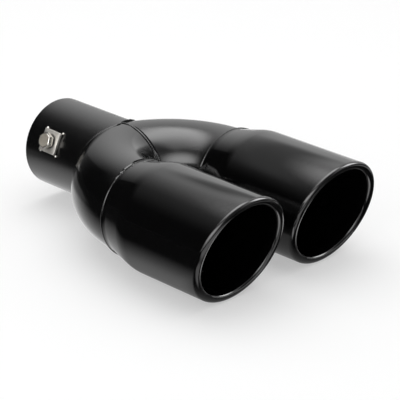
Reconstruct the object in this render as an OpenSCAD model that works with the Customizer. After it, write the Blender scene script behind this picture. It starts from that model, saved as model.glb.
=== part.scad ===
// Twin-outlet exhaust tip: a clamp-on inlet sleeve, two bent branches that are cut and
// welded on the centre plane, and two flared outlets with slant-cut rolled lips.
// Millimetres. X runs with the gas flow, Z is up, Y crosses the two outlets, and the
// origin is the centre of the sleeve's bore at its open end.

/* [Inlet sleeve] */
// Bore that slides over the tailpipe
sleeve_bore = 60; // [50:0.5:72]
// Wall of the sleeve
sleeve_wall = 1.5; // [1:0.1:2.5]

/* [Branches] */
// How far a branch tube stands out above and below the sleeve
branch_over = 0.75; // [0.4:0.05:3]
// How much a branch is narrower in the plane of its bend, flattened by bending
branch_flat = 3.5; // [0:0.5:6]
// Wall of a branch tube
branch_wall = 1.5; // [1:0.1:2.5]
// Centreline radius of the bend
bend_r = 61; // [50:1:75]
// From the sleeve's open end to the seam between branch and outlet
seam_x = 132; // [110:1:170]

/* [Outlets] */
// Outside diameter of an outlet's barrel
outlet_od = 76; // [70:0.5:92]
// Gap between the two barrels
outlet_gap = 9.5; // [3:0.5:30]
// Wall of an outlet
outlet_wall = 1.2; // [0.8:0.1:2]
// How far the neck's bore stands clear of the branch's height
neck_clear = -0.25; // [-0.5:0.05:0.5]
// Length of the plain neck before the flare
neck_len = 0.8; // [0.5:0.1:6]
// Length of the flare
flare_len = 20; // [12:1:35]
// Radius of the hollow bend where the neck turns into the flare
flare_r_in = 14; // [8:1:16]
// Radius of the round bend where the flare turns into the barrel
flare_r_out = 34; // [10:1:50]
// From the sleeve's open end to the rim, on an outlet's centreline
rim_x = 227; // [195:1:280]
// Slant of the mouth, longest at the top
mouth_slant = 16.4; // [0:0.2:25]
// Width of the rolled lip
lip_w = 6; // [4:0.5:9]
// How far the rolled edge runs back inside the mouth
lip_return = 5; // [2:0.5:12]

/* [Weld beads] */
// Height that the branch weld stands out of both surfaces
bead_h = 0.7; // [0.4:0.1:1.2]
// Width of the centre weld
bead_w = 2.4; // [1.5:0.1:4]
// Radius of the bead round an outlet's neck
neck_bead_r = 1.6; // [1.4:0.05:2.2]

/* [Clamp nut] */
// Side of the square nut plate
nut_side = 16; // [12:0.5:20]
// Thickness of the nut plate
nut_t = 2; // [1.5:0.1:4]
// From the sleeve's open end to the nut's centre
nut_x = 25; // [14:0.5:38]
// Angle of the nut round the sleeve, up from the outer side
nut_angle = 25.5; // [-60:0.5:80]
// Turn of the plate from square, as it was tacked on
nut_turn = -1; // [-10:0.5:10]
// Radius of a tack weld at a corner of the plate
tack_r = 1.1; // [0.8:0.1:1.6]

/* [Clamp screw] */
// Diameter of the screw's thread
screw_d = 6; // [5:0.5:8]
// Width of the hexagon head across its flats
head_af = 10; // [8:0.5:13]
// Height of the head
head_h = 4; // [3:0.5:6]
// Gap between the head and the nut plate
head_gap = 1.4; // [0.5:0.1:4]
// Turn of the hexagon about the screw
head_turn = 39; // [0:1:60]
// Running clearance of the screw in the nut, on the radius
thread_clear = 0.06; // [0.03:0.01:0.1]
// Clearance of the screw in the sleeve's hole, on the radius
hole_clear = 0.5; // [0.2:0.1:1]

/* [Hidden] */
$fn = 96;
big = 400;
sleeve_r = sleeve_bore / 2 + sleeve_wall;
branch_h = sleeve_bore + 2 * sleeve_wall + 2 * branch_over;
branch_w = branch_h - branch_flat;
outlet_r = outlet_od / 2;
outlet_pitch = outlet_od + outlet_gap;
neck_in = branch_h / 2 + neck_clear;
neck_r = neck_in + outlet_wall;
// the flare as a cone between two bends, with their signs turned if it narrows
flare_a = atan((outlet_r - neck_r) / flare_len);
flare_s = flare_a < 0 ? -1 : 1;
bend_t = flare_s * tan(flare_a / 2);
in_x = seam_x + neck_len;
flare_x = in_x + flare_r_in * bend_t;
barrel_x = flare_x + flare_len;
out_x = barrel_x + flare_r_out * bend_t;
shear = tan(mouth_slant);
// where the branches' tops cross the centre plane, and the reach of the sleeve into them
bend_y = bend_r - outlet_pitch / 2;
ridge_x = seam_x - sqrt(bend_r * bend_r - bend_y * bend_y);
screw_tip = sleeve_bore / 2 + 0.3;
nut_out = sleeve_r + nut_t;
black = [0.09, 0.09, 0.095];
weld_black = [0.16, 0.16, 0.165];
steel = [0.72, 0.70, 0.66];
bright = [0.88, 0.88, 0.86];

// A point on an arc, from its centre, radius and angle
function on_arc(c, r, a) = [c[0] + r * cos(a), c[1] + r * sin(a)];

// Piece of a wall bent about c, between two radii and two angles
module bent_wall(c, r0, r1, a0, a1) {
    reach = 2 * max(r0, r1);
    translate(c) intersection() {
        difference() {
            circle(r = max(r0, r1));
            circle(r = min(r0, r1));
        }
        polygon([[0, 0], reach * [cos(a0), sin(a0)], reach * [cos(a1), sin(a1)]]);
    }
}

// Section of an outlet's wall as radius and distance along it: neck, hollow bend,
// cone, round bend and barrel, each meeting the next at its end
module outlet_wall_section(x_end) {
    c_in = [neck_r + flare_s * flare_r_in, in_x];
    c_out = [outlet_r - flare_s * flare_r_out, out_x];
    turn = flare_s < 0 ? 180 : 0;
    in_r = flare_s * flare_r_in;
    out_r = flare_s * flare_r_out;
    translate([neck_in, seam_x]) square([outlet_wall, neck_len]);
    bent_wall(c_in, abs(in_r), abs(in_r + outlet_wall), 180 - turn,
        180 - turn - flare_a);
    polygon([on_arc(c_in, in_r, 180 - flare_a), on_arc(c_out, out_r, -flare_a),
        on_arc(c_out, out_r - outlet_wall, -flare_a),
        on_arc(c_in, in_r + outlet_wall, 180 - flare_a)]);
    bent_wall(c_out, abs(out_r), abs(out_r - outlet_wall), turn - flare_a, turn);
    translate([outlet_r - outlet_wall, out_x]) square([outlet_wall, x_end - out_x]);
}

// Turns a profile, drawn as radius and distance, about the X axis
module turned() {
    rotate([0, 90, 0]) rotate_extrude() children();
}

// Leans its children so that what is square to X follows the slanted mouth
module slanted() {
    multmatrix([[1, 0, shear, rim_x], [0, 1, 0, 0], [0, 0, 1, 0]]) children();
}

// Section of a branch tube, grown by d
module branch_section(d) {
    translate([bend_r, 0])
        scale([(branch_w + 2 * d) / (branch_h + 2 * d), 1])
            circle(d = branch_h + 2 * d);
}

// A quarter bend of the near branch, from the outlet's seam to past the centre plane
module quarter_bend() {
    translate([seam_x, bend_y, 0])
        rotate([0, 0, 180]) rotate_extrude(angle = 90) children();
}

// The near branch's half of space
module near_side(gap = 0) {
    translate([-big / 2, -big, -big / 2]) cube([big * 1.5, big - gap, big]);
}

// A near branch with no bore, cut on the centre plane
module branch_body(d = 0) {
    intersection() {
        quarter_bend() branch_section(d);
        near_side();
    }
}

module both_sides() {
    children();
    mirror([0, 1, 0]) children();
}

// The sleeve's cylinder at radius r, as far as it reaches into the branches
module sleeve_body(r, x0 = 0) {
    translate([x0, 0, 0]) rotate([0, 90, 0]) cylinder(r = r, h = ridge_x - x0);
}

// Places its children on the sleeve at the nut, with Z pointing out of the sleeve
module at_nut() {
    translate([nut_x, 0, 0]) rotate([-nut_angle, 0, 0]) rotate([90, 0, 0])
        rotate([0, 0, nut_turn]) children();
}

module inlet_sleeve() {
    color(black) difference() {
        sleeve_body(sleeve_r);
        sleeve_body(sleeve_bore / 2, -1);
        translate([ridge_x - 1, 0, 0]) rotate([0, 90, 0])
            cylinder(r = sleeve_bore / 2, h = 2);
        both_sides() branch_body();
        at_nut() cylinder(d = screw_d + 2 * hole_clear, h = sleeve_r + 5);
    }
}

// Bent tube, open to the sleeve's bore and to its outlet
module branch() {
    difference() {
        intersection() {
            quarter_bend() difference() {
                branch_section(0);
                branch_section(-branch_wall);
            }
            near_side();
        }
        sleeve_body(sleeve_bore / 2, -1);
    }
}

module near_branch() {
    color(black) branch();
}

module far_branch() {
    color(black) mirror([0, 1, 0]) branch();
}

// Weld of the three tubes: a saddle bead where the branches leave the sleeve, and a
// bead along the cut where the branches meet
module branch_weld() {
    color(weld_black) difference() {
        union() {
            intersection() {
                both_sides() branch_body(bead_h);
                sleeve_body(sleeve_r + bead_h, 20);
                translate([0, -big / 2, -big / 2])
                    cube([ridge_x - 3, big, big]);
            }
            intersection() {
                both_sides() branch_body(bead_h);
                translate([0, -bead_w / 2, -big / 2]) cube([seam_x, bead_w, big]);
            }
        }
        both_sides() branch_body();
        sleeve_body(sleeve_r);
    }
}

// Neck, flare and barrel in one wall, closed by the rolled lip along the slant
module outlet() {
    roll = lip_w / 2;
    union() {
        difference() {
            turned() outlet_wall_section(rim_x + big / 8);
            slanted() translate([-roll, -outlet_od, -outlet_od])
                cube([big, 2 * outlet_od, 2 * outlet_od]);
        }
        slanted() turned() lip_profile(roll);
    }
}

// The lip's section: the wall turns over through half a circle and runs back inside
module lip_profile(roll) {
    step = 0.04;
    inner = roll - outlet_wall;
    translate([outlet_r - roll, -roll]) {
        difference() {
            circle(r = roll - step);
            circle(r = inner + step);
            translate([-2 * roll, -3 * roll]) square([4 * roll, 3 * roll]);
        }
        translate([inner + step, -2]) square([outlet_wall - 2 * step, 2]);
        translate([-roll + step, -lip_return])
            square([outlet_wall - 2 * step, lip_return]);
    }
}

module near_outlet() {
    color(black) translate([0, -outlet_pitch / 2, 0]) outlet();
}

module far_outlet() {
    color(black) translate([0, outlet_pitch / 2, 0]) outlet();
}

// Bead round the neck of the near outlet, on the outlet's edge and the branch
module neck_weld() {
    difference() {
        translate([0, -outlet_pitch / 2, 0]) turned()
            translate([neck_r + 0.3 - neck_bead_r, seam_x]) circle(r = neck_bead_r);
        translate([0, -outlet_pitch / 2, 0]) turned()
            outlet_wall_section(out_x + 10);
        branch_body();
    }
}

module near_neck_weld() {
    color(weld_black) neck_weld();
}

module far_neck_weld() {
    color(weld_black) mirror([0, 1, 0]) neck_weld();
}

module nut_plate() {
    translate([-nut_side / 2, -nut_side / 2, sleeve_r])
        cube([nut_side, nut_side, nut_t]);
}

module clamp_nut() {
    color(steel) at_nut() difference() {
        nut_plate();
        translate([0, 0, sleeve_r - 1])
            cylinder(r = screw_d / 2 + thread_clear, h = nut_t + 2);
    }
}

// A tack at each corner of the plate, down to the sleeve
module nut_tacks() {
    reach = nut_side / 2 + 0.3;
    drop = sleeve_r - sqrt(sleeve_r * sleeve_r - reach * reach);
    color(bright) difference() {
        at_nut() for (x = [-1, 1], y = [-1, 1])
            translate([x * reach, y * reach, sleeve_r - drop / 2]) sphere(r = tack_r);
        at_nut() nut_plate();
        sleeve_body(sleeve_r);
    }
}

// Hexagon-head screw, its tip level with the bore
module clamp_screw() {
    color(steel) at_nut() {
        translate([0, 0, screw_tip]) {
            cylinder(d1 = screw_d - 1, d2 = screw_d, h = 0.5);
            translate([0, 0, 0.5])
                cylinder(d = screw_d, h = nut_out + head_gap + 0.2 - screw_tip - 0.5);
        }
        translate([0, 0, nut_out + head_gap]) rotate([0, 0, head_turn])
            intersection() {
                cylinder(r = head_af / 2 / cos(30), h = head_h, $fn = 6);
                cylinder(r1 = head_af / 2 / cos(30) + 2.2 * (head_h - 0.7),
                    r2 = head_af / 2 * 0.94, h = head_h);
            }
    }
}

inlet_sleeve();
near_branch();
far_branch();
branch_weld();
near_outlet();
far_outlet();
near_neck_weld();
far_neck_weld();
clamp_nut();
nut_tacks();
clamp_screw();
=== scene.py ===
import enum
import logging
import math
from dataclasses import dataclass, field
from typing import Any, Callable

import bpy
import bmesh
import numpy as np
from bmesh.types import BMesh, BMVert
from bpy.types import Material, Mesh, Node, NodeSocket, NodeTree, Object
from mathutils import Matrix, Vector


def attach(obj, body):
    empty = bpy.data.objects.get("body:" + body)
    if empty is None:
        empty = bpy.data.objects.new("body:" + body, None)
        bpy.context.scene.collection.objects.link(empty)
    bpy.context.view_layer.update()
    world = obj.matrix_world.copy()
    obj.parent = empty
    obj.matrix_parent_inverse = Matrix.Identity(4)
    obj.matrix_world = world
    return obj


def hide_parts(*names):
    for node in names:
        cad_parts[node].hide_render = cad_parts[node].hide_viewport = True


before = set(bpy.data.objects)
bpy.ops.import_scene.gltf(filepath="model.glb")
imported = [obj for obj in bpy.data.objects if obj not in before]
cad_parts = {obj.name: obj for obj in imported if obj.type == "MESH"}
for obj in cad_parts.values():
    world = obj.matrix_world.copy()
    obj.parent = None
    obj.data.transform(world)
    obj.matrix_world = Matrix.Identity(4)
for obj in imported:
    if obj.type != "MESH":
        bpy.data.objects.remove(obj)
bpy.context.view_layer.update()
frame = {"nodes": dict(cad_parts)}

log = logging.getLogger("exhaust_tip")

MM = 0.001
TIP = "tip"
SCREW = "screw"
PART_MIDDLE = Vector((0.1, 0.0, 0.0))

Triple = tuple[float, float, float]
Colour = Triple
Edges = tuple[float, float, float, float]


class Side(enum.Enum):
    """One of the two outlets and branches, with its sign along Y."""

    NEAR = -1
    FAR = 1


class Finish(enum.Enum):
    """How a stretch of weld looks: gloss, or dull and barely reflecting. The dull stretches are dark
    strips of painted shade beside the beads.
    """

    GLOSS = "gloss"
    DULL = "dull"
# Dull stretches are painted shade: dark strips where the grooves beside the beads lie in shade.


# Node trees


class Wire:
    """A socket of a node tree. One that carries a number is written as Python maths."""

    def __init__(self, sheet: "NodeSheet", socket: NodeSocket) -> None:
        """Keeps the tree and the output socket."""
        self.sheet = sheet
        self.socket = socket

    def __add__(self, other: Any) -> "Wire":
        """This wire plus a value."""
        return self.sheet.maths("ADD", self, other)

    __radd__ = __add__

    def __mul__(self, other: Any) -> "Wire":
        """This wire times a value."""
        return self.sheet.maths("MULTIPLY", self, other)

    __rmul__ = __mul__

    def __sub__(self, other: Any) -> "Wire":
        """This wire less a value."""
        return self.sheet.maths("SUBTRACT", self, other)

    def __rsub__(self, other: float) -> "Wire":
        """A value less this wire."""
        return self.sheet.maths("SUBTRACT", other, self)

    def __truediv__(self, other: Any) -> "Wire":
        """This wire over a value."""
        return self.sheet.maths("DIVIDE", self, other)

    def __rtruediv__(self, other: float) -> "Wire":
        """A value over this wire."""
        return self.sheet.maths("DIVIDE", other, self)

    def ramp(self, low: float, high: float) -> "Wire":
        """Passes smoothly from 0 at the low value to 1 at the high one."""
        return self.sheet.wire("ShaderNodeMapRange", {"interpolation_type": "SMOOTHSTEP"},
                               {0: self, 1: low, 2: high, 3: 0.0, 4: 1.0})


class NodeSheet:
    """A node tree under construction, of a material, a world or a modifier."""

    def __init__(self, tree: NodeTree) -> None:
        """Keeps the tree that nodes are added to."""
        self.tree = tree

    def node(self, kind: str, settings: dict[str, Any] | None = None,
             inputs: dict[Any, Any] | None = None) -> Node:
        """Adds a node.

        Args:
            kind: The node's type.
            settings: Its settings, set first.
            inputs: Values or wires by the input's name or index.

        Returns:
            The node.
        """
        made = self.tree.nodes.new(kind)
        for name, value in (settings or {}).items():
            setattr(made, name, value)
        self.feed(made, inputs or {})
        return made

    def feed(self, node: Node, inputs: dict[Any, Any]) -> None:
        """Sets or links a node's inputs.

        Args:
            node: The node.
            inputs: Values or wires by the input's name or index.
        """
        for name, value in inputs.items():
            if isinstance(value, Wire):
                self.tree.links.new(value.socket, node.inputs[name])
            else:
                node.inputs[name].default_value = value

    def wire(self, kind: str, settings: dict[str, Any] | None = None,
             inputs: dict[Any, Any] | None = None, output: Any = 0) -> Wire:
        """Adds a node, as the method node does, and gives one of its outputs as a wire."""
        return Wire(self, self.node(kind, settings, inputs).outputs[output])

    def maths(self, operation: str, *values: Any) -> Wire:
        """Adds a Math node on values or wires."""
        return self.wire("ShaderNodeMath", {"operation": operation},
                         dict(enumerate(values)))

    def place(self, stretch: Triple = (1.0, 1.0, 1.0),
              turn: Triple = (0.0, 0.0, 0.0)) -> Wire:
        """The object's own coordinates, turned and stretched.

        Args:
            stretch: Scale along each axis, after the turn.
            turn: Turn about each axis, in radians.

        Returns:
            The vector's wire.
        """
        spot = self.wire("ShaderNodeTexCoord", output="Object")
        for change in ({"Rotation": turn}, {"Scale": stretch}):
            spot = self.wire("ShaderNodeMapping", {"vector_type": "POINT"},
                             {"Vector": spot, **change})
        return spot

    def noise(self, vector: Wire, scale: float, detail: float = 2.0,
              rough: float = 0.5) -> Wire:
        """Soft noise from 0 to 1.

        Args:
            vector: The coordinates.
            scale: Features to the metre.
            detail: Octaves.
            rough: Weight of the finer octaves.

        Returns:
            The noise's wire.
        """
        return self.wire("ShaderNodeTexNoise", {"noise_dimensions": "3D"}, {
            "Vector": vector, "Scale": scale, "Detail": detail, "Roughness": rough})

    def blend_colours(self, factor: Wire, first: Wire | Colour,
                      second: Wire | Colour) -> Wire:
        """Mixes two colours.

        Args:
            factor: The share of the second colour.
            first: The colour at 0.
            second: The colour at 1.

        Returns:
            The colour's wire.
        """
        first, second = ((*colour, 1.0) if isinstance(colour, tuple) else colour
                         for colour in (first, second))
        return self.wire("ShaderNodeMix", {"data_type": "RGBA"},
                         {0: factor, 6: first, 7: second}, 2)

    def bump(self, height: Wire, depth: float, below: Wire | None = None) -> Wire:
        """Turns a height from 0 to 1 into a normal.

        Args:
            height: The height.
            depth: What a height of 1 stands for, in metres.
            below: The normal of a bump under this one.

        Returns:
            The normal's wire.
        """
        inputs = {"Height": height, "Distance": depth, "Strength": 1.0}
        if below:
            inputs["Normal"] = below
        return self.wire("ShaderNodeBump", None, inputs)


def new_sheet(name: str) -> tuple[Material, NodeSheet, Node]:
    """Starts a material.

    Args:
        name: The material's name.

    Returns:
        The material, its tree and its Principled shader.
    """
    material = bpy.data.materials.new(name)
    material.use_nodes = True
    shader = material.node_tree.nodes["Principled BSDF"]
    return material, NodeSheet(material.node_tree), shader


# Finishes


@dataclass(frozen=True)
class BlackCoat:
    """Gloss black coating on steel: a hint of flow in the surface, faint wiping marks
    and a slightly uneven gloss."""

    name: str
    gloss: float
    gloss_swing: float
    flow_depth: float
    flow_scale: float = 260.0
    colour: Colour = (0.0013, 0.0013, 0.0014)
    patch_scale: float = 38.0
    patch_lift: float = 1.35
    wiping_scale: float = 420.0
    wiping_stretch: Triple = (0.25, 1.0, 1.0)
    wiping_share: float = 0.4
    dust_scale: float = 2600.0
    dust_range: tuple[float, float] = (0.66, 0.80)
    dust_dulling: float = 0.04
    grain_scale: float = 3200.0
    grain_depth: float = 0.0000015
    ior: float = 1.6
    shine: float = 0.5

    def material(self) -> Material:
        """Builds the coating's material.

        Returns:
            The material.
        """
        material, sheet, shader = new_sheet(self.name)
        spot = sheet.place()
        along = sheet.place(self.wiping_stretch)
        patches = sheet.noise(spot, self.patch_scale, detail=3.0)
        wiping = sheet.noise(along, self.wiping_scale, detail=4.0, rough=0.65)
        dust = sheet.noise(spot, self.dust_scale, detail=1.0).ramp(*self.dust_range)
        gloss = (self.gloss + self.gloss_swing * (patches - 0.5) * 2.0
                 + self.wiping_share * self.gloss_swing * (wiping - 0.5) * 2.0
                 + self.dust_dulling * dust)
        tone = sheet.blend_colours(
            patches, self.colour, tuple(part * self.patch_lift for part in self.colour))
        flow = sheet.noise(spot, self.flow_scale, detail=1.0)
        grain = sheet.noise(spot, self.grain_scale)
        normal = sheet.bump(grain, self.grain_depth, sheet.bump(flow, self.flow_depth))
        sheet.feed(shader, {
            "Base Color": tone, "Roughness": gloss, "Normal": normal, "IOR": self.ior,
            "Specular IOR Level": self.shine})
        return material


@dataclass(frozen=True)
class PlainSteel:
    """Stamped stainless steel with a straight grain and small handling marks, and round a given screw a
    dark ring of painted shade that stands in for the head's shadow.
    """

    name: str
    light: Colour = (0.65, 0.63, 0.595)
    dark: Colour = (0.52, 0.50, 0.465)
    gloss: float = 0.50
    grain_turn: Triple = (0.445, 0.0, 0.0)
    grain_stretch: Triple = (0.12, 1.0, 1.0)
    grain_scale: float = 5200.0
    grain_share: float = 0.45
    grain_dulling: float = 0.16
    grain_depth: float = 0.000012
    mark_scale: float = 700.0
    mark_share: float = 0.55
    mark_dulling: float = 0.12
    pit_scale: float = 1900.0
    pit_range: tuple[float, float] = (0.62, 0.78)
    pit_dulling: float = 0.10
    pit_depth: float = 0.00002
    # Colour, reach, fade and swing of the ring of painted shade that stands in for the screw head's
    # shadow on the plate.
    head_shade_colour: Colour = (0.10, 0.10, 0.105)
    head_shade_reach: float = 5.7 * MM
    head_shade_fade: tuple[float, float] = (0.80, 1.1)
    head_shade_swing: float = 1.6 * MM

    def material(self, screw_line: tuple[Vector, Vector] | None = None) -> Material:
        """Builds the steel's material.

        Args:
            screw_line: A point and the direction of a screw's axis, round which the steel gets a dark
                ring of painted shade standing in for the head's shadow on the plate.

        Returns:
            The material.
        """
        material, sheet, shader = new_sheet(self.name)
        along = sheet.place(self.grain_stretch, self.grain_turn)
        grain = sheet.noise(along, self.grain_scale, detail=5.0, rough=0.7)
        marks = sheet.noise(sheet.place(), self.mark_scale, detail=4.0, rough=0.6)
        pits = sheet.noise(sheet.place(), self.pit_scale).ramp(*self.pit_range)
        tone = sheet.blend_colours(
            (self.mark_share * marks + self.grain_share * grain).ramp(0.3, 0.7),
            self.dark, self.light)
        # Painted shade: darkens the steel within a ragged ring round the screw's axis, for the head's
        # shadow on the plate.
        if screw_line:
            point, axis = screw_line
            arm = sheet.wire("ShaderNodeVectorMath", {"operation": "SUBTRACT"},
                             {0: sheet.place(), 1: point})
            across = sheet.wire("ShaderNodeVectorMath", {"operation": "CROSS_PRODUCT"},
                                {0: arm, 1: axis})
            reach = sheet.wire("ShaderNodeVectorMath", {"operation": "LENGTH"},
                               {0: across}, "Value")
            ragged = reach + self.head_shade_swing * (marks - 0.5)
            fade = [share * self.head_shade_reach for share in self.head_shade_fade]
            tone = sheet.blend_colours(ragged.ramp(*fade), self.head_shade_colour, tone)
        gloss = (self.gloss + self.grain_dulling * (grain - 0.5)
                 + self.mark_dulling * (marks - 0.5) + self.pit_dulling * pits)
        normal = sheet.bump(grain, self.grain_depth,
                            sheet.bump(pits * -1.0, self.pit_depth))
        sheet.feed(shader, {
            "Base Color": tone, "Roughness": gloss, "Normal": normal, "Metallic": 1.0})
        return material


@dataclass(frozen=True)
class TackMetal:
    """Bright solidified weld metal with a faint straw tint and fine wrinkles."""

    name: str
    light: Colour = (0.86, 0.85, 0.82)
    tint: Colour = (0.72, 0.66, 0.56)
    tint_scale: float = 900.0
    wrinkle_scale: float = 3600.0
    wrinkle_depth: float = 0.00003
    gloss: float = 0.30
    gloss_swing: float = 0.25

    def material(self) -> Material:
        """Builds the weld metal's material.

        Returns:
            The material.
        """
        material, sheet, shader = new_sheet(self.name)
        spot = sheet.place()
        wrinkles = sheet.noise(spot, self.wrinkle_scale, detail=3.0)
        patches = sheet.noise(spot, self.tint_scale).ramp(0.35, 0.75)
        sheet.feed(shader, {
            "Base Color": sheet.blend_colours(patches, self.light, self.tint),
            "Roughness": self.gloss + self.gloss_swing * (wrinkles - 0.5),
            "Normal": sheet.bump(wrinkles, self.wrinkle_depth), "Metallic": 1.0})
        return material


# Meshes


def new_piece(name: str, mesh: Mesh) -> Object:
    """Links a new object at the origin.

    Args:
        name: The object's name.
        mesh: Its mesh.

    Returns:
        The object.
    """
    piece = bpy.data.objects.new(name, mesh)
    bpy.context.scene.collection.objects.link(piece)
    return piece


def mesh_of(name: str, build: Callable[[BMesh], None]) -> Mesh:
    """Builds a mesh with bmesh, merged, with its faces smooth and turned outwards.

    Args:
        name: The mesh's name.
        build: Adds the vertices and faces.

    Returns:
        The mesh.
    """
    shape = bmesh.new()
    build(shape)
    bmesh.ops.remove_doubles(shape, verts=shape.verts, dist=1e-7)
    bmesh.ops.recalc_face_normals(shape, faces=shape.faces)
    for face in shape.faces:
        face.smooth = True
    mesh = bpy.data.meshes.new(name)
    shape.to_mesh(mesh)
    shape.free()
    return mesh


def quad_mesh(name: str, half: tuple[float, float], height: float = 0.0) -> Mesh:
    """Builds a level rectangle round the Z axis.

    Args:
        name: The mesh's name.
        half: Half of its width and depth.
        height: Its height.

    Returns:
        The mesh.
    """
    mesh = bpy.data.meshes.new(name)
    mesh.from_pydata([(x * half[0], y * half[1], height)
                      for x, y in ((-1, -1), (1, -1), (1, 1), (-1, 1))], [], [range(4)])
    return mesh


def add_ring(shape: BMesh, turns: np.ndarray, radius: float | np.ndarray,
             height: float | np.ndarray) -> list[BMVert]:
    """Adds a ring of vertices round the Z axis.

    Args:
        shape: The mesh.
        turns: The vertices' angles.
        radius: Their radius, one or many.
        height: Their height, one or many.

    Returns:
        The vertices.
    """
    spots = np.broadcast_arrays(radius * np.cos(turns), radius * np.sin(turns), height)
    return [shape.verts.new(tuple(spot)) for spot in np.stack(spots, 1)]


def bridge(shape: BMesh, first: list[BMVert], second: list[BMVert], material: int = 0) -> None:
    """Adds the faces between two rings.

    Args:
        shape: The mesh.
        first: One ring's vertices.
        second: The other ring's vertices.
        material: The place of the faces' material.
    """
    for k in range(len(first)):
        n = (k + 1) % len(first)
        face = shape.faces.new((first[n], first[k], second[k], second[n]))
        face.material_index = material


def discard(piece: Object) -> None:
    """Removes an object and its mesh.

    Args:
        piece: The object.
    """
    mesh = piece.data
    bpy.data.objects.remove(piece)
    bpy.data.meshes.remove(mesh)


def plain_copy(piece: Object, name: str) -> Object:
    """Turns a piece with modifiers into a plain mesh and removes the original.

    Args:
        piece: The piece with its modifiers.
        name: The name of the result.

    Returns:
        The plain piece.
    """
    graph = bpy.context.evaluated_depsgraph_get()
    mesh = bpy.data.meshes.new_from_object(piece.evaluated_get(graph))
    mesh.name = name
    discard(piece)
    return new_piece(name, mesh)


def joined(name: str, pieces: list[Object]) -> Object:
    """Joins plain pieces into one, with the materials of all of them.

    Args:
        name: The name of the result.
        pieces: The pieces, which are removed.

    Returns:
        The joined piece.
    """
    shape = bmesh.new()
    materials = []
    for piece in pieces:
        first = len(shape.faces)
        shape.from_mesh(piece.data)
        shape.faces.ensure_lookup_table()
        for material in piece.data.materials:
            if material not in materials:
                materials.append(material)
        places = [materials.index(material) for material in piece.data.materials]
        for face in shape.faces[first:]:
            face.material_index = places[face.material_index]
        discard(piece)
    mesh = bpy.data.meshes.new(name)
    shape.to_mesh(mesh)
    shape.free()
    for material in materials:
        mesh.materials.append(material)
    return new_piece(name, mesh)


def wear(piece: Object, material: Material) -> None:
    """Puts one material on every slot of a piece.

    Args:
        piece: The piece.
        material: The material.
    """
    if not piece.material_slots:
        piece.data.materials.append(material)
    for place in piece.material_slots:
        place.material = material


def settle(piece: Object, body: str, node: str) -> None:
    """Says which body a new piece rides on and what it stands for.

    Args:
        piece: The piece.
        body: The body's name.
        node: The CAD node that it replaces.
    """
    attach(piece, body)
    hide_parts(node)
    log.info("%s rides on %s, with %d faces", piece.name, body, len(piece.data.polygons))


# Geometry trees


class GeometrySheet(NodeSheet):
    """A geometry node tree with named inputs, which ends in a plain mesh."""

    def __init__(self, name: str, *floats: str) -> None:
        """Makes the tree and its sockets.

        Args:
            name: The tree's name.
            floats: The names of its inputs that are numbers.
        """
        super().__init__(bpy.data.node_groups.new(name, "GeometryNodeTree"))
        face = self.tree.interface
        face.new_socket("Geometry", in_out="INPUT", socket_type="NodeSocketGeometry")
        kinds = {**dict.fromkeys(floats, "NodeSocketFloat"), "Material": "NodeSocketMaterial"}
        for label, kind in kinds.items():
            face.new_socket(label, in_out="INPUT", socket_type=kind)
        face.new_socket("Geometry", in_out="OUTPUT", socket_type="NodeSocketGeometry")
        self.inputs = self.node("NodeGroupInput")

    def given(self, label: str) -> Wire:
        """The wire of a named input."""
        return Wire(self, self.inputs.outputs[label])

    def path(self) -> Wire:
        """The mesh that the tree starts from, as a curve."""
        return self.wire("GeometryNodeMeshToCurve", None, {"Mesh": self.given("Geometry")})

    def swept(self, path: Wire, size: Wire, corners: int) -> Wire:
        """A ring swept along a path, with closed ends.

        Args:
            path: The path.
            size: The ring's radius along the way.
            corners: How many corners the ring has.

        Returns:
            The wire of the sweep.
        """
        ring = self.wire("GeometryNodeCurvePrimitiveCircle", {"mode": "RADIUS"},
                         {"Resolution": corners, "Radius": 1.0})
        return self.wire("GeometryNodeCurveToMesh", None, {
            "Curve": path, "Profile Curve": ring, "Scale": size, "Fill Caps": True})

    def close(self, geometry: Wire) -> None:
        """Ends the tree in real, smooth geometry with its material.

        Args:
            geometry: The geometry so far.
        """
        smooth = self.wire("GeometryNodeSetShadeSmooth", None, {"Geometry": geometry})
        real = self.wire("GeometryNodeRealizeInstances", None, {"Geometry": smooth})
        painted = self.wire("GeometryNodeSetMaterial", None, {
            "Geometry": real, "Material": self.given("Material")})
        self.node("NodeGroupOutput", None, {"Geometry": painted})

    def grow(self, name: str, mesh: Mesh, **values: Any) -> Object:
        """Runs the tree on a mesh.

        Args:
            name: The name of the result.
            mesh: What the tree starts from.
            values: Values of the named inputs, with _ for a space.

        Returns:
            The result as a plain piece.
        """
        piece = new_piece(name + "_start", mesh)
        modifier = piece.modifiers.new("grow", "NODES")
        modifier.node_group = self.tree
        for label, value in values.items():
            place = self.tree.interface.items_tree[label.replace("_", " ")]
            modifier[place.identifier] = value
        return plain_copy(piece, name)


def bead_sheet() -> GeometrySheet:
    """The tree of a weld bead: a rippled, slightly uneven rope of metal along a path.

    Returns:
        The tree, whose path carries the bead's radius as the attribute "thick".
    """
    sheet = GeometrySheet("weld_bead", "Step", "Ripple Pitch", "Ripple Depth",
                          "Lump Depth", "Lump Scale", "Seed")
    fine = sheet.wire("GeometryNodeResampleCurve", {"mode": "LENGTH"},
                      {"Curve": sheet.path(), "Length": sheet.given("Step")})
    length = sheet.wire("GeometryNodeSplineParameter", output="Length")
    beat = sheet.maths("FRACT", length / sheet.given("Ripple Pitch"))
    ripple = beat * (1.0 - beat) * 4.0
    lumps = sheet.wire("ShaderNodeTexNoise", {"noise_dimensions": "4D"}, {
        "Vector": sheet.wire("GeometryNodeInputPosition"), "W": sheet.given("Seed"),
        "Scale": sheet.given("Lump Scale"), "Detail": 1.0})
    thick = sheet.wire("GeometryNodeInputNamedAttribute", {"data_type": "FLOAT"},
                       {"Name": "thick"}, "Attribute")
    size = thick * (1.0 + sheet.given("Ripple Depth") * (ripple - 0.6)
                    + sheet.given("Lump Depth") * (lumps - 0.5) * 2.0)
    sheet.close(sheet.swept(fine, size, corners=14))
    return sheet


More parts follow.
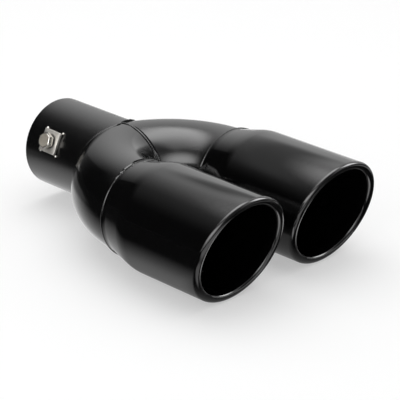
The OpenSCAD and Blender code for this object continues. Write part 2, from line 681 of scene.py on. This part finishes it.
def tack_sheet(swing: float = 0.12, lump_scale: float = 900.0, seed: int = 5) -> GeometrySheet:
    """The tree of tack welds: a lumpy drop of metal on each point.

    Args:
        swing: How far the drops' sizes stray, as a share.
        lump_scale: Lumps to the metre.
        seed: Picks the sizes.

    Returns:
        The tree.
    """
    sheet = GeometrySheet("tack_welds", "Radius", "Lump Depth")
    ball = sheet.wire("GeometryNodeMeshIcoSphere", None,
                      {"Radius": sheet.given("Radius"), "Subdivisions": 4})
    size = sheet.wire("FunctionNodeRandomValue", {"data_type": "FLOAT"},
                      {"Min": 1.0 - swing, "Max": 1.0 + swing, "Seed": seed}, 1)
    drops = sheet.wire("GeometryNodeInstanceOnPoints", None, {
        "Points": sheet.given("Geometry"), "Instance": ball, "Scale": size})
    real = sheet.wire("GeometryNodeRealizeInstances", None, {"Geometry": drops})
    lumps = sheet.noise(sheet.wire("GeometryNodeInputPosition"), lump_scale, detail=1.0)
    shift = sheet.wire("ShaderNodeVectorMath", {"operation": "SCALE"}, {
        0: sheet.wire("GeometryNodeInputNormal"),
        "Scale": (lumps - 0.5) * sheet.given("Lump Depth")})
    sheet.close(sheet.wire("GeometryNodeSetPosition", None,
                           {"Geometry": real, "Offset": shift}))
    return sheet


def thread_sheet() -> GeometrySheet:
    """The tree of a screw thread: a pointed ridge swept along a helix path.

    Returns:
        The tree.
    """
    sheet = GeometrySheet("screw_thread", "Ridge")
    sheet.close(sheet.swept(sheet.path(), sheet.given("Ridge"), corners=4))
    return sheet


def path_mesh(name: str, points: np.ndarray, thick: np.ndarray | None = None,
              closed: bool = False) -> Mesh:
    """A path of edges, which can carry a bead's radius.

    Args:
        name: The mesh's name.
        points: The path's points.
        thick: The radius at each point, if the path carries one.
        closed: Whether the last point joins the first.

    Returns:
        The mesh.
    """
    count = len(points)
    edges = [(k, k + 1) for k in range(count - 1)] + ([(count - 1, 0)] if closed else [])
    mesh = bpy.data.meshes.new(name)
    mesh.from_pydata([tuple(p) for p in points], edges, [])
    if thick is not None:
        mesh.attributes.new("thick", "FLOAT", "POINT").data.foreach_set(
            "value", np.asarray(thick, np.float32))
    return mesh


# Tubes and welds


@dataclass(frozen=True)
class TubeForm:
    """Sizes of the sleeve, the branches and the outlets, as in the CAD, in metres."""

    sleeve_radius: float = 31.5 * MM
    bend_radius: float = 61.0 * MM
    branch_half_width: float = 30.5 * MM
    branch_half_height: float = 32.25 * MM
    pitch: float = 85.5 * MM
    seam: float = 132.0 * MM
    neck_radius: float = 33.2 * MM

    @property
    def bend_centre(self) -> float:
        """How far the near branch's bend centre lies past the centre plane."""
        return self.bend_radius - self.pitch / 2

    def branch_reach(self, across: np.ndarray, up: np.ndarray) -> np.ndarray:
        """Where a branch's outside lies behind the seam.

        Args:
            across: Distance from the centre plane towards the branch's own side.
            up: Height above the axis.

        Returns:
            The X of the branch's outer surface.
        """
        share = np.sqrt(np.maximum(0.0, 1 - (up / self.branch_half_height) ** 2))
        outer = self.bend_radius + self.branch_half_width * share
        return self.seam - np.sqrt(outer ** 2 - (across + self.bend_centre) ** 2)


@dataclass
class Tubes:
    """The sleeve, the two branches and the two outlets, which keep their CAD shapes."""

    sleeve_coat: BlackCoat = BlackCoat(
        "sleeve_black", gloss=0.21, gloss_swing=0.03, flow_depth=0.000006)
    branch_coat: BlackCoat = BlackCoat(
        "branch_black", gloss=0.14, gloss_swing=0.02, flow_depth=0.000005)
    outlet_coat: BlackCoat = BlackCoat(
        "outlet_black", gloss=0.08, gloss_swing=0.025, flow_depth=0.000005)

    def dress(self, nodes: dict[str, Object]) -> None:
        """Puts the coatings on the CAD nodes.

        Args:
            nodes: The CAD nodes by name.
        """
        coats = {
            self.sleeve_coat: ("inlet_sleeve",),
            self.branch_coat: ("near_branch", "far_branch"),
            self.outlet_coat: ("near_outlet", "far_outlet"),
        }
        for coat, names in coats.items():
            material = coat.material()
            for name in names:
                wear(nodes[name], material)
                log.info("%s wears %s", name, coat.name)


@dataclass(frozen=True)
class BeadLine:
    """One stretch of weld along a path, with the bead's radius at marks on the way."""

    name: str
    finish: Finish
    marks: tuple[tuple[float, float], ...]
    pitch: float
    ripple: float
    lump: float
    seed: float
    lift: float = 0.0
    shift: float = 0.0
    closed: bool = False

    def turns(self, count: int) -> np.ndarray:
        """The angles from the first mark to the last.

        Args:
            count: How many.

        Returns:
            The angles in radians.
        """
        low, high = self.marks[0][0], self.marks[-1][0]
        return np.radians(np.linspace(low, high, count, endpoint=not self.closed))

    def radii(self, turns: np.ndarray) -> np.ndarray:
        """The bead's radius at each angle.

        Args:
            turns: The angles in radians.

        Returns:
            The radii in metres.
        """
        places, sizes = zip(*self.marks)
        return np.interp(np.degrees(turns), places, sizes) * MM


@dataclass
class WeldBeads:
    """Weld beads along the saddle, the centre plane and the outlets' necks, with dull dark strips at some
    of their toes as painted shade in the grooves there.
    """

    form: TubeForm = TubeForm()
    gloss_coat: BlackCoat = BlackCoat(
        "weld_black", gloss=0.14, gloss_swing=0.04, flow_depth=0.000012,
        flow_scale=900.0)
    # Painted shade: a dull, barely reflecting coat for the strips at the welds' toes, standing in for the
    # shade in the grooves there.
    toe_shade_coat: BlackCoat = BlackCoat(
        "weld_toe_shade", gloss=0.45, gloss_swing=0.10, flow_depth=0.000012,
        flow_scale=900.0, ior=1.12, shine=0.5)
    points: int = 360
    step: float = 0.22 * MM
    lump_scale: float = 260.0
    sink: float = 0.45 * MM
    neck_sink: float = 0.65 * MM
    neck_shift: float = -0.1 * MM
    sheet: GeometrySheet = field(init=False)
    materials: dict[Finish, Material] = field(init=False)
    near_saddle: tuple[BeadLine, ...] = (
        BeadLine("near_saddle", Finish.GLOSS,
                 ((1, 1.15), (9, 1.3), (14, 0.95), (60, 0.95), (120, 0.95), (179, 1.0)),
                 1.2 * MM, 0.10, 0.14, 3.0),
        BeadLine("near_saddle_toe", Finish.DULL,
                 ((2, 0.7), (8, 0.9), (13, 0.3)), 1.4 * MM, 0.3, 0.5, 5.0, 0.2 * MM,
                 0.8 * MM))
    far_saddle: tuple[BeadLine, ...] = (
        BeadLine("far_saddle", Finish.GLOSS,
                 ((1, 0.9), (7, 0.9), (30, 0.8), (90, 0.9), (179, 1.0)),
                 1.9 * MM, 0.28, 0.30, 7.0),
        BeadLine("far_saddle_toe", Finish.DULL,
                 ((0, 0.9), (5, 1.45), (20, 1.35), (38, 0.9), (60, 0.3)),
                 1.6 * MM, 0.2, 0.25, 9.0, 0.35 * MM, -0.15 * MM))
    ridge_lines: tuple[BeadLine, ...] = (
        BeadLine("ridge", Finish.GLOSS,
                 ((77.3, 1.1), (95, 1.0), (140, 1.0), (147, 1.7), (165, 1.9), (195, 1.9),
                  (213, 1.7), (220, 1.1), (282.7, 1.1)),
                 1.5 * MM, 0.12, 0.10, 11.0),
        BeadLine("ridge_near_toe", Finish.DULL,
                 ((94, 0.2), (104, 0.65), (138, 0.75), (146, 0.3)),
                 1.5 * MM, 0.10, 0.20, 12.0, 0.12 * MM, -1.15 * MM),
        BeadLine("ridge_far_toe", Finish.DULL,
                 ((94, 0.2), (104, 0.65), (150, 0.75), (160, 0.3)),
                 1.5 * MM, 0.10, 0.20, 13.0, 0.12 * MM, 1.15 * MM))
    near_neck: tuple[BeadLine, ...] = (
        BeadLine("near_neck", Finish.GLOSS,
                 ((0, 1.0), (97, 1.05), (101, 1.7), (112, 1.75), (115.5, 0.95),
                  (118.5, 1.5), (122, 0.9), (127, 1.25), (132, 0.95), (200, 0.95),
                  (360, 1.0)),
                 1.7 * MM, 0.02, 0.05, 17.0, closed=True),
        BeadLine("near_neck_toe", Finish.DULL,
                 ((72, 0.3), (82, 0.95), (95, 1.0), (99, 0.3)),
                 1.7 * MM, 0.10, 0.15, 19.0, 0.55 * MM, -0.9 * MM))
    far_neck: tuple[BeadLine, ...] = (
        BeadLine("far_neck", Finish.GLOSS,
                 ((0, 1.05), (90, 1.05), (180, 1.1), (270, 1.05), (360, 1.05)),
                 1.7 * MM, 0.03, 0.06, 23.0, closed=True),)

    def saddle(self, side: Side, line: BeadLine) -> np.ndarray:
        """The line where the sleeve enters a branch, from the top round to the bottom.

        Args:
            side: The branch's side.
            line: The stretch of weld.

        Returns:
            The points.
        """
        turn = line.turns(self.points)
        radius = self.form.sleeve_radius
        across, up = radius * np.sin(turn), radius * np.cos(turn)
        x = self.form.branch_reach(across, up) + line.shift
        grow = 1 + (line.lift - self.sink) / radius
        return np.stack([x, side.value * across * grow, up * grow], 1)

    def ridge(self, line: BeadLine) -> np.ndarray:
        """The line on the centre plane, from the sleeve over the crotch and back.

        Args:
            line: The stretch of weld.

        Returns:
            The points.
        """
        form = self.form
        turn = line.turns(self.points)
        width = form.branch_half_width - self.sink + line.lift
        height = form.branch_half_height - self.sink + line.lift
        reach = form.bend_radius + width * np.cos(turn)
        x = form.seam - np.sqrt(reach ** 2 - (form.bend_centre + abs(line.shift)) ** 2)
        return np.stack([x, np.full_like(x, line.shift), height * np.sin(turn)], 1)

    def neck(self, side: Side, line: BeadLine) -> np.ndarray:
        """The ring where an outlet's neck meets its branch.

        Args:
            side: The outlet's side.
            line: The stretch of weld.

        Returns:
            The points.
        """
        turn = line.turns(self.points)
        radius = self.form.neck_radius - self.neck_sink + line.lift
        centre = side.value * self.form.pitch / 2
        x = self.form.seam + self.neck_shift + line.shift
        return np.stack([np.full_like(turn, x), centre + radius * np.cos(turn),
                         radius * np.sin(turn)], 1)

    def _strands(self, lines: tuple[BeadLine, ...],
                 path: Callable[[BeadLine], np.ndarray]) -> list[Object]:
        """Grows the stretches of one weld.

        Args:
            lines: The stretches.
            path: Gives a stretch's points.

        Returns:
            The plain strands.
        """
        strands = []
        for line in lines:
            mesh = path_mesh(line.name + "_path", path(line),
                             line.radii(line.turns(self.points)), line.closed)
            strands.append(self.sheet.grow(
                line.name + "_strand", mesh, Step=self.step, Ripple_Pitch=line.pitch,
                Ripple_Depth=line.ripple, Lump_Depth=line.lump,
                Lump_Scale=self.lump_scale, Seed=line.seed,
                Material=self.materials[line.finish]))
        return strands

    def build(self) -> None:
        """Builds and dresses the beads."""
        self.sheet = bead_sheet()
        self.materials = {Finish.GLOSS: self.gloss_coat.material(),
                          Finish.DULL: self.toe_shade_coat.material()}
        near, far = Side.NEAR, Side.FAR
        seams = (
            ("branch_weld",
             self._strands(self.near_saddle, lambda line: self.saddle(near, line))
             + self._strands(self.far_saddle, lambda line: self.saddle(far, line))
             + self._strands(self.ridge_lines, self.ridge)),
            ("near_neck_weld",
             self._strands(self.near_neck, lambda line: self.neck(near, line))),
            ("far_neck_weld",
             self._strands(self.far_neck, lambda line: self.neck(far, line))))
        for node, strands in seams:
            settle(joined(node + "_bead", strands), TIP, node)


# Clamp


@dataclass
class Clamp:
    """The nut plate, its four tack welds and the screw, in their own frame: Z points
    out of the sleeve at the nut."""

    nut_x: float = 25.0 * MM
    angle: float = math.radians(25.5)
    turn: float = math.radians(-1.0)
    sleeve_radius: float = 31.5 * MM
    side: float = 16.0 * MM
    thickness: float = 2.0 * MM
    hole_radius: float = 3.06 * MM
    head_flats: float = 10.0 * MM
    head_height: float = 4.0 * MM
    head_gap: float = 1.4 * MM
    head_turn: float = math.radians(39.0)
    head_sides: int = 72
    face_share: float = 0.93
    chamfer: float = math.radians(28)
    washer_radius: float = 4.6 * MM
    washer_depth: float = 0.10 * MM
    head_sharpness: float = math.radians(12)
    thread_radius: float = 3.0 * MM
    thread_depth: float = 0.55 * MM
    thread_pitch: float = 1.0 * MM
    thread_steps: int = 40
    thread_start: float = 0.55 * MM
    thread_end: float = 0.75 * MM
    tip_height: float = 30.3 * MM
    tip_length: float = 0.5 * MM
    tip_depth: float = 0.45 * MM
    plate_points: int = 64
    plate_bevel: float = 0.28 * MM
    bevel_angle: float = math.radians(50)
    plate_sharpness: float = math.radians(28)
    tack_radius: float = 0.72 * MM
    tack_reach: float = 0.30 * MM
    tack_height: float = 31.05 * MM
    tack_lump: float = 0.35 * MM
    steel: PlainSteel = PlainSteel("plain_steel")
    screw_steel: PlainSteel = PlainSteel(
        "screw_steel", light=(0.66, 0.61, 0.53), dark=(0.52, 0.475, 0.405), gloss=0.47)
    flank_steel: PlainSteel = PlainSteel(
        "flank_steel", light=(0.66, 0.64, 0.60), dark=(0.56, 0.54, 0.50), gloss=0.20)
    tack_metal: TackMetal = TackMetal("tack_metal")

    @property
    def seat(self) -> Matrix:
        """The place of the clamp's own frame in the row frame."""
        return (Matrix.Translation((self.nut_x, 0, 0))
                @ Matrix.Rotation(-self.angle, 4, "X")
                @ Matrix.Rotation(math.radians(90), 4, "X")
                @ Matrix.Rotation(self.turn, 4, "Z"))

    @property
    def plate_top(self) -> float:
        """Height of the plate's outer face in the clamp's frame."""
        return self.sleeve_radius + self.thickness

    def _plate(self, shape: BMesh) -> None:
        """Adds the plate with its hole.

        Args:
            shape: The mesh.
        """
        turns = 2 * math.pi * np.arange(self.plate_points) / self.plate_points
        square = self.side / 2 / np.maximum(abs(np.cos(turns)), abs(np.sin(turns)))
        low_out, low_in, top_out, top_in = (
            add_ring(shape, turns, radius, height)
            for height in (self.sleeve_radius, self.plate_top)
            for radius in (square, self.hole_radius))
        for first, second in ((top_in, top_out), (low_out, low_in), (top_out, low_out),
                              (low_in, top_in)):
            bridge(shape, first, second)

    def _head(self, shape: BMesh) -> None:
        """Adds the hexagon head with its chamfered face, its washer face and the core.

        Args:
            shape: The mesh.
        """
        base = self.plate_top + self.head_gap
        washer = base - self.washer_depth
        top = base + self.head_height
        core = self.thread_radius - self.thread_depth
        face = self.head_flats / 2 * self.face_share
        turns = 2 * math.pi * np.arange(self.head_sides) / self.head_sides
        hexagon = self.head_flats / 2 / np.cos(turns % (math.pi / 3) - math.pi / 6)
        edge = top - (hexagon - face) * math.tan(self.chamfer)
        rings = [add_ring(shape, turns + self.head_turn, radius, height)
                 for radius, height in (
                     (face, top), (hexagon, edge), (hexagon, base),
                     (self.washer_radius, base), (self.washer_radius, washer),
                     (core, washer), (core, self.tip_height + self.tip_length),
                     (core - self.tip_depth, self.tip_height))]
        for upper, lower in zip(rings, rings[1:]):
            bridge(shape, upper, lower, 1)
        shape.faces.new(rings[0])
        shape.faces.new(list(reversed(rings[-1])))

    def _thread(self, material: Material) -> Object:
        """Builds the thread's ridge along its helix.

        Args:
            material: The screw's material.

        Returns:
            The ridge.
        """
        low = self.tip_height + self.thread_start
        high = self.plate_top + self.head_gap - self.thread_end
        steps = int((high - low) / self.thread_pitch * self.thread_steps)
        turns = np.arange(steps + 1) / self.thread_steps
        a = turns * 2 * math.pi
        mid = self.thread_radius - self.thread_depth
        points = np.stack([mid * np.cos(a), mid * np.sin(a),
                           low + turns * self.thread_pitch], 1)
        return thread_sheet().grow("thread_ridge", path_mesh("thread_path", points),
                                   Ridge=self.thread_depth, Material=material)

    def build(self) -> None:
        """Builds and dresses the nut, the tacks and the screw."""
        seat = self.seat
        axis = seat.to_3x3() @ Vector((0, 0, 1))
        plate = new_piece("nut_plate", mesh_of("nut_plate", self._plate))
        bevel = plate.modifiers.new("edges", "BEVEL")
        bevel.width = self.plate_bevel
        bevel.segments = 3
        bevel.limit_method = "ANGLE"
        bevel.angle_limit = self.bevel_angle
        plate = plain_copy(plate, "nut_plate_bevelled")
        plate.data.transform(seat)
        plate.data.shade_smooth()
        plate.data.set_sharp_from_angle(angle=self.plate_sharpness)
        # The plate's steel gets painted shade round the screw's axis, standing in for the head's shadow.
        wear(plate, self.steel.material((seat.to_translation(), axis)))
        settle(plate, TIP, "clamp_nut")

        screw_steel = self.screw_steel.material()
        head = new_piece("screw_head", mesh_of("screw_head", self._head))
        wear(head, screw_steel)
        head.data.materials.append(self.flank_steel.material())
        screw = joined("hex_screw", [head, self._thread(screw_steel)])
        screw.data.transform(seat)
        screw.data.set_sharp_from_angle(angle=self.head_sharpness)
        settle(screw, SCREW, "clamp_screw")

        reach = self.side / 2 + self.tack_reach
        spots = [(sx * reach, sy * reach, self.tack_height)
                 for sx in (-1, 1) for sy in (-1, 1)]
        mesh = bpy.data.meshes.new("tack_spots")
        mesh.from_pydata([tuple(seat @ Vector(p)) for p in spots], [], [])
        tacks = tack_sheet().grow(
            "tack_drops", mesh, Radius=self.tack_radius, Lump_Depth=self.tack_lump,
            Material=self.tack_metal.material())
        settle(tacks, TIP, "nut_tacks")


# Studio


def direction(azimuth: float, elevation: float) -> Vector:
    """The way from the part towards a point of view.

    Args:
        azimuth: Its azimuth in degrees, 0 in front and 90 at the outlets' end.
        elevation: Its elevation in degrees.

    Returns:
        The unit vector.
    """
    a, e = math.radians(azimuth), math.radians(elevation)
    return Vector((math.sin(a) * math.cos(e), -math.cos(a) * math.cos(e), math.sin(e)))


@dataclass(frozen=True)
class View:
    """The photograph's point of view."""

    azimuth: float = 46.236
    elevation: float = 22.633
    distance: float = 1.297587
    focus: float = 1913.313
    aim: Triple = (0.110, 0.0, 0.0)
    right_shift: float = 0.024062
    up_shift: float = -0.011885
    frame: int = 400
    sensor: float = 36.0

    def camera(self) -> Object:
        """Builds the camera.

        Returns:
            The camera's object.
        """
        a = math.radians(self.azimuth)
        back = direction(self.azimuth, self.elevation)
        right = Vector((math.cos(a), math.sin(a), 0.0))
        up = back.cross(right)
        target = Vector(self.aim) + self.right_shift * right + self.up_shift * up
        data = bpy.data.cameras.new("photo_view")
        data.sensor_width = self.sensor
        data.lens = self.focus * self.sensor / self.frame
        data.clip_start, data.clip_end = 0.05, 50.0
        camera = bpy.data.objects.new("photo_view", data)
        turn = Matrix((right, up, back)).transposed().to_4x4()
        camera.matrix_world = Matrix.Translation(target + back * self.distance) @ turn
        bpy.context.scene.collection.objects.link(camera)
        return camera


@dataclass
class Card:
    """A flat stage card with soft edges, seen in reflections only. It is level, or it
    faces the part."""

    name: str
    centre: Vector
    half: tuple[float, float]
    glow: float
    soft: Edges
    faces_part: bool = False
    rise: Triple = (0.0, 1.0, 0.0)

    @classmethod
    def towards(cls, name: str, azimuth: float, elevation: float, distance: float,
                half: tuple[float, float], glow: float, soft: Edges,
                rise: Triple = (0.0, 1.0, 0.0)) -> "Card":
        """A card that faces the part from some direction.

        Args:
            name: The card's name.
            azimuth: Its azimuth in degrees.
            elevation: Its elevation in degrees.
            distance: Its distance.
            half: Half of its width and height.
            glow: Its brightness.
            soft: Width of the soft edge at the left, right, bottom and top.
            rise: Where along its width more brightness starts, over which width, and
                how much.

        Returns:
            The card.
        """
        centre = PART_MIDDLE + direction(azimuth, elevation) * distance
        return cls(name, centre, half, glow, soft, True, rise)

    @classmethod
    def level(cls, name: str, low: tuple[float, float], high: tuple[float, float],
              height: float, glow: float, soft: Edges) -> "Card":
        """A level card between two corners.

        Args:
            name: The card's name.
            low: The corner with the least X and Y.
            high: The corner with the greatest X and Y.
            height: Its height.
            glow: Its brightness.
            soft: Width of the soft edge at the left, right, bottom and top.

        Returns:
            The card.
        """
        centre = Vector(((low[0] + high[0]) / 2, (low[1] + high[1]) / 2, height))
        half = ((high[0] - low[0]) / 2, (high[1] - low[1]) / 2)
        return cls(name, centre, half, glow, soft)

    def _turn(self) -> Matrix:
        """The card's turn, with its width level.

        Returns:
            The turn's matrix.
        """
        if not self.faces_part:
            return Matrix.Identity(4)
        face = (PART_MIDDLE - self.centre).normalized()
        wide = Vector((0.0, 0.0, 1.0)).cross(face).normalized()
        return Matrix((wide, face.cross(wide), face)).transposed().to_4x4()

    def build(self) -> None:
        """Builds the card and its glow."""
        card = new_piece(self.name, quad_mesh(self.name, self.half))
        card.matrix_world = Matrix.Translation(self.centre) @ self._turn()
        wear(card, self._light())
        for ray in ("camera", "diffuse", "shadow", "transmission"):
            setattr(card, "visible_" + ray, False)

    def _light(self) -> Material:
        """Builds the card's glow, which fades towards its edges.

        Returns:
            The glow's material.
        """
        material = bpy.data.materials.new(self.name)
        material.use_nodes = True
        sheet = NodeSheet(material.node_tree)
        material.node_tree.nodes.clear()
        spot = sheet.wire("ShaderNodeTexCoord", output="Object")
        x, y = (sheet.wire("ShaderNodeSeparateXYZ", None, {0: spot}, axis) for axis in "XY")
        (w, h), (left, right, bottom, top) = self.half, self.soft
        inside = ((x + w).ramp(0.0, left) * (w - x).ramp(0.0, right)
                  * (y + h).ramp(0.0, bottom) * (h - y).ramp(0.0, top))
        start, width, more = self.rise
        most = self.glow + more
        shade = sheet.blend_colours(x.ramp(start, start + width),
                                    (self.glow / most,) * 3, (1.0,) * 3)
        glow = sheet.wire("ShaderNodeEmission", None, {"Color": shade, "Strength": most})
        clear = sheet.wire("ShaderNodeBsdfTransparent")
        mix = sheet.wire("ShaderNodeMixShader", None, {0: inside, 1: clear, 2: glow})
        sheet.node("ShaderNodeOutputMaterial", None, {0: mix})
        return material


CARDS = (
    Card("top_softbox", Vector((-0.008, -0.117, 1.0)), (0.681, 0.834), 5.07, (0.383, 0.381, 1.127, 0.47)),
    Card.towards("front_softbox", 14.7, 27.7, 1.35, (1.409, 0.655), 4.50, (1.257, 1.248, 0.664, 0.592)),
    Card.towards("gap_flag", 39.1, 56.0, 1.55, (1.743, 0.746), 0.087, (0.313, 0.313, 0.899, 0.899)),
    Card.towards("fill_card", -124.9, 41.0, 1.90, (1.459, 2.20), 2.91, (3.0, 2.196, 2.317, 2.53)),
    Card.towards("rim_softbox", 145.0, 30.0, 1.00, (0.34, 0.36), 8.0, (0.15, 0.15, 0.18, 0.15)),
    Card.towards("camera_flag", 85.0, 20.0, 1.30, (0.60, 0.50), 0.15, (0.20, 0.20, 0.15, 0.25)),
    Card.towards("left_flag", -83.1, 17.3, 2.20, (4.0, 3.09), 0.012,
                 (0.725, 0.149, 2.60, 2.60), rise=(-0.04, 4.0, 0.661)),
    Card.level("far_flag", (0.09, -0.035), (0.192, 0.14), 0.080, 0.42, (0.05, 0.04, 0.04, 0.06)),
    Card.level("apron", (-3.0, -3.0), (3.0, 3.0), -0.0380, 0.02, (0.3,) * 4),
    Card.level("back_table", (-1.0, 0.06), (0.22, 1.6), -0.03795, 1.0, (0.06,) * 4),
    Card.level("left_table", (-0.34, -0.17), (-0.06, 0.06), -0.0379, 0.25, (0.06, 0.04, 0.05, 0.05)),
    Card.level("table", (-0.11, -0.14), (0.217, 0.50), -0.0378, 1.0, (0.09, 0.03, 0.10, 0.10)),
    Card.level("shade", (0.10, -0.090), (0.235, 0.30), -0.0377, 0.26, (0.04, 0.02, 0.03, 0.10)),
    Card.level("side_table", (0.27, 0.02), (0.38, 0.11), -0.0376, 0.5, (0.03,) * 4),
    Card.level("rear_side_table", (0.24, 0.16), (0.40, 0.30), -0.0376, 0.9, (0.03,) * 4),
    Card.level("front_table", (0.255, -0.40), (0.50, -0.01), -0.0375, 1.3, (0.04,) * 4),
    Card.level("left_lip_table", (0.226, -0.135), (0.275, -0.062), -0.03745, 1.0,
               (0.010, 0.02, 0.02, 0.015)),
    Card.level("middle_table", (0.250, -0.045), (0.300, 0.006), -0.03745, 1.2,
               (0.012, 0.02, 0.02, 0.012)),
    Card.level("near_lip_table", (0.229, -0.055), (0.256, 0.0), -0.0374, 2.2,
               (0.008, 0.012, 0.015, 0.012)),
    Card.level("far_lip_table", (0.229, 0.03), (0.256, 0.085), -0.0374, 2.2,
               (0.008, 0.012, 0.015, 0.012)),
)


@dataclass
class Studio:
    """Pale floor, soft light and the cards that the gloss reflects."""

    floor_height: float = -38.3 * MM
    floor_size: float = 12.0
    floor_colour: Colour = (0.95, 0.95, 0.95)
    floor_white: float = 0.42
    cloud_scale: float = 3.0
    cloud_shade: float = 0.99
    room_light: float = 0.62
    view: View = View()

    def build(self) -> None:
        """Builds the studio."""
        scene = bpy.context.scene
        scene.view_settings.view_transform = "Standard"
        scene.camera = self.view.camera()
        self._world()
        self._floor()
        self._lamps()
        for card in CARDS:
            card.build()

    @staticmethod
    def _seen(sheet: NodeSheet) -> Wire:
        """Whether a surface or the room is seen, directly or in gloss or glass.

        Args:
            sheet: The tree that asks.

        Returns:
            The wire, 1 where it is seen and 0 where it only lights.
        """
        direct, gloss, glass = (
            sheet.wire("ShaderNodeLightPath", output=f"Is {kind} Ray")
            for kind in ("Camera", "Glossy", "Transmission"))
        return sheet.maths("MAXIMUM", sheet.maths("MAXIMUM", direct, gloss), glass)

    def _world(self) -> None:
        """A white room, seen white and lighting at a plain level."""
        world = bpy.data.worlds.new("room")
        bpy.context.scene.world = world
        world.use_nodes = True
        sheet = NodeSheet(world.node_tree)
        world.node_tree.nodes.clear()
        dim, white = (
            sheet.wire("ShaderNodeBackground", None,
                       {"Color": (1, 1, 1, 1), "Strength": level})
            for level in (self.room_light, 1.0))
        mix = sheet.wire("ShaderNodeMixShader", None, {0: self._seen(sheet), 1: dim, 2: white})
        sheet.node("ShaderNodeOutputWorld", None, {0: mix})

    def _floor(self) -> None:
        """The pale floor, with a faint unevenness."""
        floor = new_piece("floor", quad_mesh("floor", (self.floor_size,) * 2,
                                             self.floor_height))
        material, sheet, shader = new_sheet("pale_floor")
        cloud = sheet.noise(sheet.place(), self.cloud_scale)
        sheet.feed(shader, {
            "Base Color": sheet.blend_colours(
                cloud, self.floor_colour,
                tuple(part * self.cloud_shade for part in self.floor_colour)),
            "Roughness": 0.9, "Specular IOR Level": 0.0})
        white = sheet.wire("ShaderNodeEmission", None, {"Color": (1, 1, 1, 1), "Strength": 1.0})
        mix = sheet.wire("ShaderNodeMixShader", None, {
            0: self._seen(sheet) * self.floor_white, 1: Wire(sheet, shader.outputs[0]),
            2: white})
        sheet.feed(sheet.tree.nodes["Material Output"], {0: mix})
        wear(floor, material)

    def _lamps(self) -> None:
        """Soft lamps that light without showing in the gloss."""
        for name, place, size, power in (
                ("top_lamp", (-0.05, 0.15, 1.3), 1.6, 10.8),
                ("front_lamp", (0.6, -1.3, 0.7), 1.0, 4.0)):
            data = bpy.data.lights.new(name, "AREA")
            data.shape = "SQUARE"
            data.size = size
            data.energy = power
            lamp = bpy.data.objects.new(name, data)
            lamp.location = place
            aim = PART_MIDDLE - Vector(place)
            lamp.rotation_euler = aim.to_track_quat("-Z", "Y").to_euler()
            lamp.visible_glossy = False
            lamp.visible_camera = False
            bpy.context.scene.collection.objects.link(lamp)


def main() -> None:
    """Builds the studio and the exhaust tip's looks."""
    logging.basicConfig(level=logging.INFO, format="%(name)s: %(message)s")
    Studio().build()
    Tubes().dress(frame["nodes"])
    WeldBeads().build()
    Clamp().build()


if __name__ == "__main__":
    main()
